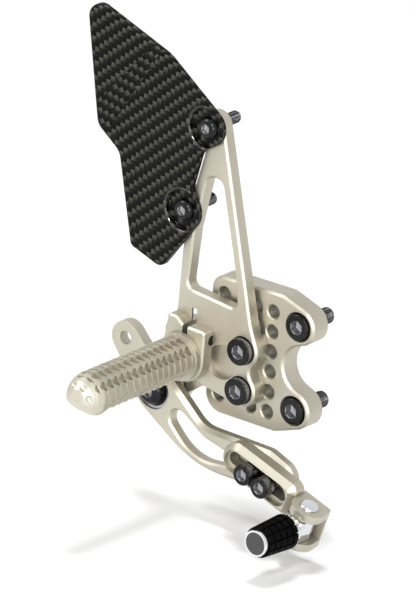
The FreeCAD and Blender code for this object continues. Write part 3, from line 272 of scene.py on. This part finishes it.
def carbon_twill():
    """Carbon fibre cloth in a 3/3 twill under clear resin: each float fades along its length from a
    painted highlight to dark, as light would fall on fibres that bow up between crossings, and the
    resin shines over it."""
    material, tree = new_material("carbon_twill")
    flat = cloth_plane(tree)
    tows = tow_grid(tree, flat)
    whole = add(tree, "VectorMath", {"operation": "FLOOR", 0: tows})
    part = add(tree, "VectorMath", {"operation": "FRACTION", 0: tows})
    cell = add(tree, "SeparateXYZ", {0: whole.outputs[0]})
    within = add(tree, "SeparateXYZ", {0: part.outputs[0]})
    step = add(tree, "Math", {"operation": "SUBTRACT", 0: cell.outputs["Y"], 1: cell.outputs["X"]})
    phase = add(tree, "Math", {"operation": "FLOORED_MODULO", 0: step.outputs[0],
                               1: float(2 * FLOAT)})
    is_weft = add(tree, "Math", {"operation": "GREATER_THAN", 0: phase.outputs[0],
                                 1: FLOAT - 0.5})
    # Distance along the float from its end with the painted highlight, as a share of its length
    down = add(tree, "Math", {"operation": "ADD", 0: phase.outputs[0], 1: within.outputs["Y"]})
    warp_run = add(tree, "MapRange", {"Value": down.outputs[0], "From Min": float(FLOAT),
                                      "From Max": 0.0})
    back = add(tree, "Math", {"operation": "SUBTRACT", 0: within.outputs["X"],
                              1: phase.outputs[0]})
    weft_run = add(tree, "MapRange", {"Value": back.outputs[0], "From Min": 1.0 - 2 * FLOAT,
                                      "From Max": 1.0 - FLOAT})
    run = add(tree, "Mix", {"data_type": "FLOAT", 0: is_weft.outputs[0], 2: warp_run.outputs[0],
                            3: weft_run.outputs[0]})
    side = add(tree, "Mix", {"data_type": "FLOAT", 0: is_weft.outputs[0], 2: within.outputs["X"],
                             3: within.outputs["Y"]})
    # A tow is round across its width and bowed along its float.
    crown = add(tree, "MapRange", {"interpolation_type": "SMOOTHSTEP", "Value": add(
        tree, "Math", {"operation": "PINGPONG", 0: side.outputs[0], 1: 0.5}).outputs[0],
        "From Max": 0.2})
    bow = add(tree, "Math", {"operation": "SINE", 0: add(tree, "Math", {
        "operation": "MULTIPLY", 0: run.outputs[0], 1: math.pi}).outputs[0]})
    relief = add(tree, "Math", {"operation": "MULTIPLY", 0: crown.outputs[0], 1: bow.outputs[0]})
    # Fibres are far finer than this: at 0.5 mm they show as uneven strands.
    fibre = add(tree, "TexNoise", {"Vector": flat, "Scale": 1 / (0.5 * MM), "Detail": 2.0})
    # Painted highlight: each float is coloured from light at one end to near black at the other.
    painted_float_highlight = add(tree, "ValToRGB", {"Fac": run.outputs[0]})
    ramp = painted_float_highlight.color_ramp
    ramp.elements[0].position, ramp.elements[0].color = 0.0, linear("4C4C46")
    ramp.elements[1].position, ramp.elements[1].color = 1.0, linear("020202")
    middle = ramp.elements.new(0.42)
    middle.color = linear("151513")
    # Painted shade: the tone is darkened towards the rounded sides of each tow.
    painted_side_shade = add(tree, "MapRange", {"Value": crown.outputs[0], "To Min": 0.75, "To Max": 1.0})
    grain = add(tree, "MapRange", {"Value": fibre.outputs["Fac"], "To Min": 0.85, "To Max": 1.15})
    shade = add(tree, "Math", {"operation": "MULTIPLY", 0: painted_side_shade.outputs[0], 1: grain.outputs[0]})
    tone = add(tree, "VectorMath", {"operation": "SCALE", 0: painted_float_highlight.outputs["Color"],
                                    "Scale": shade.outputs[0]})
    weave = add(tree, "Bump", {"Height": relief.outputs[0], "Strength": 0.25,
                               "Distance": 0.12 * MM})
    # The resin shines most on the rolled lips of the two dished seats.
    distances = []
    for screw in ("guard_screw_upper", "guard_screw_lower"):
        low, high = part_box(screw)
        axis = ((low.x + high.x) / 2, (low.z + high.z) / 2, 0.0)
        distances.append(add(tree, "VectorMath", {
            "operation": "DISTANCE", 0: flat, 1: axis}).outputs["Value"])
    nearest = add(tree, "Math", {"operation": "MINIMUM", 0: distances[0], 1: distances[1]})
    on_lip = add(tree, "Math", {"operation": "COMPARE", 0: nearest.outputs[0],
                                1: LIP_RADIUS * MM, 2: LIP_WIDTH / 2 * MM})
    resin = add(tree, "MapRange", {"Value": on_lip.outputs[0], "To Min": 0.12, "To Max": 1.0})
    close(tree, add(tree, "BsdfPrincipled", {
        "Base Color": tone.outputs[0], "Metallic": 0.0, "Roughness": 0.42, "IOR": 1.5,
        "Specular IOR Level": 0.02, "Normal": weave.outputs[0], "Coat Weight": resin.outputs[0],
        "Coat Roughness": 0.11, "Coat IOR": 1.5}))
    return material


def moulded_rubber(name, colour, sheen):
    """Moulded black rubber: matt and almost without shine, with the mould's fine grain."""
    material, tree = new_material(name)
    place = add(tree, "TexCoord", {}).outputs["Object"]
    # The mould's grain is too fine to show, so it is drawn at 0.6 mm.
    mould = add(tree, "TexNoise", {"Vector": place, "Scale": 1 / (0.6 * MM), "Detail": 3.0})
    tone = add(tree, "ValToRGB", {"Fac": mould.outputs["Fac"]})
    tone.color_ramp.elements[0].color = linear(colour)
    tone.color_ramp.elements[1].color = linear("080808")
    rough = add(tree, "MapRange", {"Value": mould.outputs["Fac"], "To Min": 0.45, "To Max": 0.65})
    skin = add(tree, "Bump", {"Height": mould.outputs["Fac"], "Strength": 0.2,
                              "Distance": 0.03 * MM})
    close(tree, add(tree, "BsdfPrincipled", {
        "Base Color": tone.outputs["Color"], "Roughness": rough.outputs[0], "IOR": 1.52,
        "Specular IOR Level": sheen, "Normal": skin.outputs[0]}))
    return material


def moulded_nylon():
    """Dark grey nylon of the peg's end cap, moulded with a fine spark-eroded grain."""
    material, tree = new_material("moulded_nylon")
    place = add(tree, "TexCoord", {}).outputs["Object"]
    # The grain is too fine to show, so it is drawn at 0.4 mm.
    grain = add(tree, "TexNoise", {"Vector": place, "Scale": 1 / (0.4 * MM), "Detail": 2.0})
    tone = add(tree, "ValToRGB", {"Fac": grain.outputs["Fac"]})
    tone.color_ramp.elements[0].color = linear("353536")
    tone.color_ramp.elements[1].color = linear("404041")
    skin = add(tree, "Bump", {"Height": grain.outputs["Fac"], "Strength": 0.15,
                              "Distance": 0.03 * MM})
    close(tree, add(tree, "BsdfPrincipled", {
        "Base Color": tone.outputs["Color"], "Roughness": 0.4, "IOR": 1.53,
        "Specular IOR Level": 0.3, "Normal": skin.outputs[0]}))
    return material


FINISHES = {
    "anodised_aluminium": anodised_aluminium("anodised_aluminium", "B5B0A2", "BEB9AB", 0.7),
    # Painted light: the peg's tone is drawn lighter, and its corners less darkened, to lift the
    # shade between its teeth.
    "peg_painted_light": anodised_aluminium("peg_painted_light", "BCB7A9", "C6C1B3", 0.84),
    # Painted shade: the tapped holes get a darker copy of the aluminium.
    "hole_painted_shade": anodised_aluminium("hole_painted_shade", "9C988C", "A8A498", 0.8),
    "black_steel": black_oxide_steel("black_oxide_steel", "202021", "363637"),
    # Painted highlight: the rolled threads and the knurled sides of the heads get lighter copies of
    # the black steel.
    "thread": black_oxide_steel("thread_painted_highlight", "424244", "606062"),
    "knurl": black_oxide_steel("knurl_painted_highlight", "6C6C6E", "8E8E90"),
    "bearing_steel": ground_steel("ground_steel", "8C8D90", "A9AAAD", 0.2),
    # The screws' sockets are drawn in pale grey steel.
    "socket": ground_steel("pale_socket_steel", "949496", "AEAEB0", 0.38),
    "chrome": chrome_plate(),
    "carbon": carbon_twill(),
    "rubber": moulded_rubber("moulded_rubber", "030303", 0.03),
    "seal_rubber": moulded_rubber("seal_rubber", "101010", 0.2),
    "cap_plastic": moulded_nylon(),
}


def finish_node(node, slot):
    """Give one solid of the frame its finish."""
    mesh = frame["nodes"][node].data
    mesh.materials.clear()
    mesh.materials.append(FINISHES[slot])


for part in frame["record"]["subparts"]:
    finish_node(part["node"], part["material_slot"])
finish_node("foot_peg", "peg_painted_light")


# New pieces

def turned(rows, centre):
    """Points and faces of a surface of turning about an axis that starts at centre and points
    along -Y. A row is its radius at each column and its height along the axis; column u of n lies
    at the angle 2 pi u / n."""
    radius = np.array([radii for radii, _ in rows])
    height = np.array([[at] for _, at in rows]) + 0 * radius
    count, columns = radius.shape
    angle = 2 * np.pi * np.arange(columns) / columns
    x, y, z = centre
    points = np.stack([x + radius * np.cos(angle), y - height, z + radius * np.sin(angle)], -1) * MM
    v, u = np.meshgrid(np.arange(count - 1), np.arange(columns), indexing="ij")
    onward = (u + 1) % columns
    faces = np.stack([v * columns + u, v * columns + onward, (v + 1) * columns + onward,
                      (v + 1) * columns + u], -1)
    return points.reshape(-1, 3), faces.reshape(-1, 4)


def add_piece(name, points, faces, finishes, body):
    """Object of a mesh, with its finishes and the body it rides on."""
    mesh = bpy.data.meshes.new(name)
    mesh.from_pydata(points, [], faces.tolist())
    piece = bpy.data.objects.new(name, mesh)
    bpy.context.scene.collection.objects.link(piece)
    clean_mesh(mesh)
    for finish in finishes:
        mesh.materials.append(FINISHES[finish])
    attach(piece, body)
    return piece


SHARP_ANGLE = 35


def clean_mesh(mesh):
    """Merge the rows that meet the axis, point the faces outwards, and shade smooth up to edges
    that turn by more than SHARP_ANGLE degrees."""
    work = bmesh.new()
    work.from_mesh(mesh)
    bmesh.ops.remove_doubles(work, verts=work.verts, dist=1e-6)
    bmesh.ops.dissolve_degenerate(work, edges=work.edges, dist=1e-7)
    bmesh.ops.recalc_face_normals(work, faces=work.faces)
    for face in work.faces:
        face.smooth = True
    for edge in work.edges:
        if len(edge.link_faces) == 2 and edge.calc_face_angle() > math.radians(SHARP_ANGLE):
            edge.smooth = False
    work.to_mesh(mesh)
    work.free()


SCREW_COLUMNS = 72
ROUND = np.ones(SCREW_COLUMNS)
# The finishes of a screw's faces, and the place of each in its list of materials
SCREW_FINISHES = ("black_steel", "socket", "thread", "knurl")
HEAD, SOCKET, THREAD, KNURL = range(4)

# A socket's drilled bottom: shares of the hexagon's radius, and depths as shares of its width
DRILLED_BOTTOM = ((0.0, 0.175), (0.55, 0.15))
MOUTH_WIDTH, MOUTH_DEPTH = 0.22, 0.3  # chamfer at the socket's mouth
CROWN_ROWS = 7
GROOVE_TOP = 0.1  # below the crown
GROOVE_FOOT = 0.4  # above the seat
LOWER_EDGE = ((0.15, 0.15), (0.35, 0.0))  # insets and heights of the head's broken lower edge
FILLET = 0.3  # under the head
CORNER_SHARE = 0.58  # a hexagon's corner radius over its width

# Shares of the pitch
THREAD_DEPTH = 0.61
TIP_CHAMFER, TIP_LENGTH, TIP_INSET = 0.5, 0.7, 0.75
THREAD_ROWS = 8  # rows to a pitch
THREAD_AT_TIP = 0.2  # share of the thread's depth that is left at the tip
# The wave is made this much taller and lowered, then cut off at 0 and 1, for flat crests and roots.
WAVE_HEIGHT, WAVE_DROP = 1.25, 0.12

# Each kind of screw: head, groove depth, hexagon across its flats, thread radius and pitch
M8_SCREW = SimpleNamespace(head_radius=6.5, head_height=8.0, crown=0.7, knurl=0.2, across=6.0,
                           socket_depth=4.0, radius=4.0, pitch=1.25)
M6_SCREW = SimpleNamespace(head_radius=5.0, head_height=6.0, crown=0.7, knurl=0.16, across=5.0,
                           socket_depth=3.0, radius=3.0, pitch=1.0)
GUARD_SCREW = SimpleNamespace(head_radius=5.25, head_height=3.3, crown=2.8, knurl=0.0, across=4.0,
                              socket_depth=2.0, radius=3.0, pitch=1.0)
PIVOT_SCREW = SimpleNamespace(head_radius=7.0, head_height=4.4, crown=3.4, knurl=0.0, across=5.0,
                              socket_depth=2.6, radius=4.0, pitch=1.25)


def hexagon_radius(across):
    """Distance from the axis to a hexagon's side at each column: half the width over the cosine of
    the angle from the nearest side's middle."""
    angle = 2 * np.pi * np.arange(SCREW_COLUMNS) / SCREW_COLUMNS
    from_middle = (angle + np.pi / 6) % (np.pi / 3) - np.pi / 6
    return across / 2 / np.cos(from_middle)


def head_rows(screw):
    """Rows of a socket head, with heights above its seat: from the point of the socket's drilled
    bottom up the hexagon, over the crown and down a side that is grooved at every second column."""
    hexagon = hexagon_radius(screw.across)
    bottom = screw.head_height - screw.socket_depth
    rows = [(share * hexagon, bottom - depth * screw.across) for share, depth in DRILLED_BOTTOM]
    rows += [(hexagon, bottom), (hexagon, screw.head_height - MOUTH_DEPTH),
             (hexagon + MOUTH_WIDTH, screw.head_height)]
    shoulder = screw.head_height - screw.crown
    for lean in np.linspace(0, np.pi / 2, CROWN_ROWS):
        rows.append(((screw.head_radius - screw.crown + screw.crown * math.sin(lean)) * ROUND,
                     shoulder + screw.crown * math.cos(lean)))
    grooved = screw.head_radius - screw.knurl * (np.arange(SCREW_COLUMNS) % 2)
    rows += [(grooved, shoulder - GROOVE_TOP), (grooved, GROOVE_FOOT)]
    return rows + [((screw.head_radius - inset) * ROUND, height) for inset, height in LOWER_EDGE]


def shank_rows(screw, length, plain_radius, thread_start):
    """Rows of the shank, with heights below zero: a plain part to thread_start, then the thread as
    a triangle wave of the height less one pitch per turn, which deepens over the first pitch and
    ends in a chamfered tip."""
    rows = [((plain_radius + FILLET) * ROUND, 0.0), (plain_radius * ROUND, -FILLET),
            (plain_radius * ROUND, -thread_start)]
    turn = np.arange(SCREW_COLUMNS) / SCREW_COLUMNS
    for height in np.arange(-thread_start, -length, -screw.pitch / THREAD_ROWS):
        to_tip = (height + length) / screw.pitch
        from_start = (-thread_start - height) / screw.pitch
        wave = 1 - np.abs(2 * ((height / screw.pitch + turn) % 1) - 1)
        share = np.clip(from_start, 0, 1) * np.clip(to_tip + THREAD_AT_TIP, 0, 1)
        cut = THREAD_DEPTH * screw.pitch * share * np.clip(WAVE_HEIGHT * wave - WAVE_DROP, 0, 1)
        chamfer = TIP_CHAMFER * screw.pitch * np.clip(1 - to_tip / TIP_LENGTH, 0, 1)
        rows.append((screw.radius - np.maximum(cut, chamfer), height))
    tip = (screw.radius - TIP_INSET * screw.pitch) * ROUND
    return rows + [(tip, -length), (0 * ROUND, -length)]


def face_finishes(screw, middles):
    """Place in SCREW_FINISHES of each face, from its middle in millimetres from the centre of the
    head's seat. The limits lie between the rows of the shape."""
    above, aside = -middles[:, 1], np.hypot(middles[:, 0], middles[:, 2])
    lowest = screw.head_height - screw.socket_depth - 0.2 * screw.across
    in_socket = ((above > lowest) & (above < screw.head_height - 0.1)
                 & (aside < CORNER_SHARE * screw.across))
    on_side = ((above > 0.1) & (above < screw.head_height - screw.crown)
               & (aside > screw.head_radius - 0.5))
    return np.select([in_socket, above < -0.2, on_side], [SOCKET, THREAD, KNURL], HEAD)


def threaded_screw(node, screw, plain_radius, thread_start):
    """A socket screw with a rolled thread, in the place of a plain one from the frame. Its surface
    is turned from head_rows and shank_rows."""
    low, high = (np.array(corner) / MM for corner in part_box(node))
    seat = ((low[0] + high[0]) / 2, low[1] + screw.head_height, (low[2] + high[2]) / 2)
    shank = shank_rows(screw, high[1] - seat[1], plain_radius, thread_start)
    points, faces = turned(head_rows(screw) + shank, seat)
    piece = add_piece(f"threaded_{node}", points, faces, SCREW_FINISHES,
                      frame["nodes"][node]["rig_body"])
    polygons = piece.data.polygons
    middles = np.empty(3 * len(polygons), np.float32)
    polygons.foreach_get("center", middles)
    polygons.foreach_set("material_index",
                         face_finishes(screw, middles.reshape(-1, 3) / MM - seat))
    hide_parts(node)


for which in ("upper", "lower"):
    threaded_screw(f"frame_screw_{which}", M8_SCREW, plain_radius=3.6, thread_start=4.0)
    threaded_screw(f"bracket_screw_{which}", M8_SCREW, plain_radius=4.0, thread_start=4.5)
    threaded_screw(f"guard_screw_{which}", GUARD_SCREW, plain_radius=3.0, thread_start=2.0)
for which in ("front", "rear"):
    threaded_screw(f"toe_screw_{which}", M6_SCREW, plain_radius=3.0, thread_start=8.0)
threaded_screw("pivot_screw", PIVOT_SCREW, plain_radius=4.0, thread_start=8.0)


# The adapter plate's open tapped holes, as x and z of each axis
TAPPED_HOLES = [(-15, z) for z in (24, 14, 4, -6, -16, -26)] + [
    (-25, z) for z in (24, 14, -6, -26)] + [(-44, 24), (-44, -26)]
HOLE_RADIUS = 3.4
HOLE_COLUMNS = 40
HOLE_ROWS = 6  # rows to a pitch
HOLE_INSET = 0.7  # from each face of the plate to the first thread
THREAD_HEIGHT = 0.3
SLEEVE_OVERLAP = 0.05  # how far a sleeve's back lies inside the plate's metal
PLATE_THICKNESS = 10.5


def plate_threads():
    """Threads inside the plate's tapped holes: in each a sleeve whose inner wall is a triangle
    wave of the depth less one pitch per turn, between the hole's radius and THREAD_HEIGHT less."""
    turn = np.arange(HOLE_COLUMNS) / HOLE_COLUMNS
    pitch = M8_SCREW.pitch
    depths = np.arange(HOLE_INSET, PLATE_THICKNESS - HOLE_INSET, pitch / HOLE_ROWS)
    outer = np.full(HOLE_COLUMNS, HOLE_RADIUS + SLEEVE_OVERLAP)
    rows = [(outer, depths[0])]
    for depth in depths:
        wave = 1 - np.abs(2 * ((depth / pitch + turn) % 1) - 1)
        rows.append((HOLE_RADIUS - THREAD_HEIGHT * wave, depth))
    rows += [(outer, depths[-1]), (outer, depths[0])]
    points, faces = [], []
    for x, z in TAPPED_HOLES:
        ring, quads = turned(rows, (x, 0, z))
        faces.append(quads + sum(len(part) for part in points))
        points.append(ring)
    add_piece("plate_threads", np.vstack(points), np.vstack(faces), ("hole_painted_shade",),
              "frame_side")


plate_threads()


# Studio

# How far the floor lies below the object, and half its side, in millimetres
FLOOR_DROP = 9
FLOOR_HALF = 3000
# Between these distances from the middle the floor turns plain white to the camera.
SHADOWS_END, WHITE_STARTS = 350, 750
SHADOW_FILL = 0.2


def studio_floor():
    """Pale floor that keeps a faint shadow and turns white where nothing shades it."""
    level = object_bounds()[0].z - FLOOR_DROP * MM
    half = FLOOR_HALF * MM
    mesh = bpy.data.meshes.new("studio_floor")
    mesh.from_pydata([(-half, -half, level), (half, -half, level), (half, half, level),
                      (-half, half, level)], [], [(0, 1, 2, 3)])
    floor = bpy.data.objects.new("studio_floor", mesh)
    bpy.context.scene.collection.objects.link(floor)
    material, tree = new_material("studio_floor")
    rays = add(tree, "LightPath", {})
    seen = add(tree, "Math", {"operation": "MAXIMUM", 0: rays.outputs["Is Camera Ray"],
                              1: rays.outputs["Is Glossy Ray"]})
    # No horizon shows in low views, because the far floor is plain white.
    place = add(tree, "TexCoord", {}).outputs["Object"]
    away = add(tree, "VectorMath", {"operation": "LENGTH", 0: place}).outputs["Value"]
    plain = add(tree, "MapRange", {"Value": away, "From Min": SHADOWS_END * MM,
                                   "From Max": WHITE_STARTS * MM, "To Min": SHADOW_FILL,
                                   "To Max": 1.0})
    share = add(tree, "Math", {"operation": "MULTIPLY", 0: seen.outputs[0],
                               1: plain.outputs[0]})
    paint = add(tree, "BsdfDiffuse", {"Color": linear("F2F2F2")})
    white = add(tree, "Emission", {"Color": (1, 1, 1, 1), "Strength": 1.0})
    close(tree, add(tree, "MixShader", {0: share.outputs[0], 1: paint.outputs[0],
                                        2: white.outputs[0]}))
    mesh.materials.append(material)
    floor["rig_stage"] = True


WORLD_LIGHT = 0.3


def studio_world():
    """Even grey-white surround; the camera, gloss and glass see it as plain white."""
    world = bpy.data.worlds.new("studio")
    bpy.context.scene.world = world
    world.use_nodes = True
    tree = world.node_tree
    tree.nodes.clear()
    rays = add(tree, "LightPath", {})
    mirrored = add(tree, "Math", {"operation": "MAXIMUM", 0: rays.outputs["Is Camera Ray"],
                                  1: rays.outputs["Is Glossy Ray"]})
    seen = add(tree, "Math", {"operation": "MAXIMUM", 0: mirrored.outputs[0],
                              1: rays.outputs["Is Transmission Ray"]})
    strength = add(tree, "MapRange", {"Value": seen.outputs[0], "To Min": WORLD_LIGHT,
                                      "To Max": 1.0})
    light = add(tree, "Background", {"Color": (1, 1, 1, 1), "Strength": strength.outputs[0]})
    output = tree.nodes.new("ShaderNodeOutputWorld")
    tree.links.new(light.outputs[0], output.inputs["Surface"])


# Each softbox's name, direction from the object, distance and side in metres, and watts
SOFTBOXES = (
    ("key_softbox", (-0.57, -0.42, 0.72), 1.1, 0.5, 5.2),
    ("front_softbox", (-0.56, -0.76, -0.3), 1.2, 0.7, 4.6),
    ("right_softbox", (0.72, -0.64, 0.1), 1.1, 0.6, 6.2),
    ("high_spot", (0.45, -0.67, 0.6), 1.2, 0.2, 5.5),
)


def softbox(name, direction, distance, size, watts):
    """Square area lamp that looks at the middle of the object from a direction."""
    low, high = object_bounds()
    middle = (low + high) / 2
    lamp = bpy.data.lights.new(name, "AREA")
    lamp.size = size
    lamp.energy = watts
    holder = bpy.data.objects.new(name, lamp)
    bpy.context.scene.collection.objects.link(holder)
    way = Vector(direction).normalized()
    holder.location = middle + way * distance
    holder.rotation_euler = way.to_track_quat("Z", "Y").to_euler()
    return holder


# Camera: where it stands round the object, its roll, the point at the picture's middle, and how
# many millimetres the picture's longer side takes in.
CAMERA_AZIMUTH = 37.67
CAMERA_ELEVATION = 22.65
CAMERA_ROLL = 3.84
CAMERA_AIM = (-44.90, -22.02, 23.98)
CAMERA_SPAN = 277.2
CAMERA_DISTANCE = 900


def studio_camera():
    """Parallel camera at the photograph's viewing angle."""
    turn, rise, roll = (math.radians(a) for a in (CAMERA_AZIMUTH, CAMERA_ELEVATION, CAMERA_ROLL))
    back = Vector((math.sin(turn) * math.cos(rise), -math.cos(turn) * math.cos(rise),
                   math.sin(rise)))
    right = Vector((math.cos(turn), math.sin(turn), 0))
    up = back.cross(right)
    leaned = math.cos(roll) * right + math.sin(roll) * up
    stance = Matrix((leaned, back.cross(leaned), back)).transposed()
    data = bpy.data.cameras.new("studio_camera")
    data.type = "ORTHO"
    data.ortho_scale = CAMERA_SPAN * MM
    data.clip_start, data.clip_end = 0.01, 20.0
    camera = bpy.data.objects.new("studio_camera", data)
    bpy.context.scene.collection.objects.link(camera)
    camera.matrix_world = Matrix.Translation(
        Vector(CAMERA_AIM) * MM + back * CAMERA_DISTANCE * MM) @ stance.to_4x4()
    bpy.context.scene.camera = camera


studio_floor()
studio_world()
for box in SOFTBOXES:
    softbox(*box)
# The overhead lamp makes the shadows; gloss does not mirror it, so top faces keep their tone.
softbox("overhead_softbox", (0.0, 0.0, 1.0), 1.6, 0.42, 22.0).visible_glossy = False
studio_camera()
bpy.context.scene.view_settings.view_transform = "Standard"
